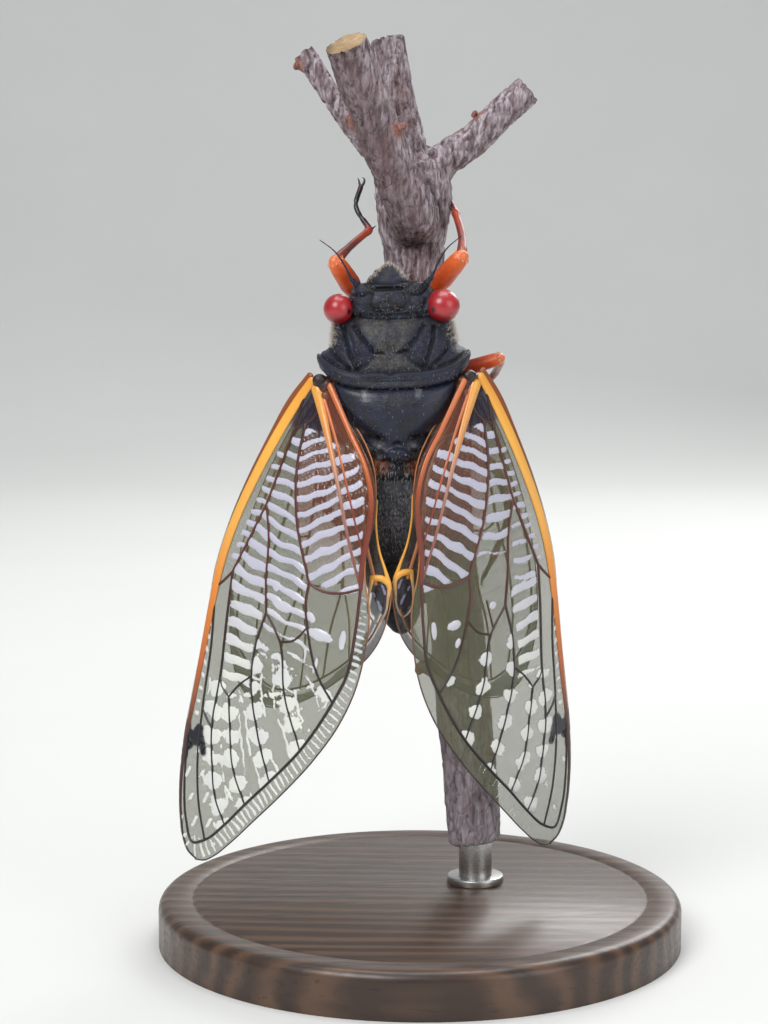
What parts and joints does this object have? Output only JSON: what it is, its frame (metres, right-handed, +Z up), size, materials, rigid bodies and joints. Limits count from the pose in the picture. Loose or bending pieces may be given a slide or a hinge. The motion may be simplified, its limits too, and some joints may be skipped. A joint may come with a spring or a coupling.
{
  "type": "periodical cicada model",
  "caption": "Life-size still model of a periodical cicada gripping an upright forked twig, wings half spread behind it, on a plain round display stand.",
  "frame": {"origin": "centre of the base's underside", "axes": "+Z up along the twig, towards the insect's head; the insect's back faces -Y and its belly and the twig are towards +Y; +X is the picture's right"},
  "size_m": [0.04, 0.04, 0.0687],
  "materials": {
    "shell": "blue-black body shell with fine silvery down",
    "eye": "glossy red compound eye",
    "leg": "glossy orange to red-brown leg shell",
    "wing": "clear corrugated wing membrane with orange and black veins",
    "hindwing": "clear wing membrane with brown veins and a smoky lobe",
    "bark": "rough purple-grey twig bark",
    "wood": "dark satin turned wood",
    "rod": "brushed"
  },
  "bodies": {
    "root": {"abdomen": "shell", "abdomen_tip": "shell", "antenna_left": "shell", "antenna_right": "shell", "beak": "leg", "eye_left": "eye", "eye_right": "eye", "face": "shell", "forewing_left": "wing", "forewing_right": "wing", "head": "shell", "hindwing_left": "hindwing", "hindwing_right": "hindwing", "leg_front_left_femur": "leg", "leg_front_left_tibia": "leg", "leg_front_right_femur": "leg", "leg_front_right_tibia": "leg", "leg_hind_left_femur": "leg", "leg_hind_left_tibia": "leg", "leg_hind_right_femur": "leg", "leg_hind_right_tibia": "leg", "leg_middle_left_femur": "leg", "leg_middle_left_tibia": "leg", "leg_middle_right_femur": "leg", "leg_middle_right_tibia": "leg", "mesonotum": "shell", "metanotum": "shell", "pronotum": "shell", "stand_base": "wood", "stand_rod": "rod", "thorax_underside": "shell", "twig_stem": "bark", "twig_stub_back": "bark", "twig_stub_left": "bark", "twig_stub_right": "bark", "twig_stub_thin": "bark", "wing_hinge_left": "shell", "wing_hinge_right": "shell"}
  },
  "joints": []
}
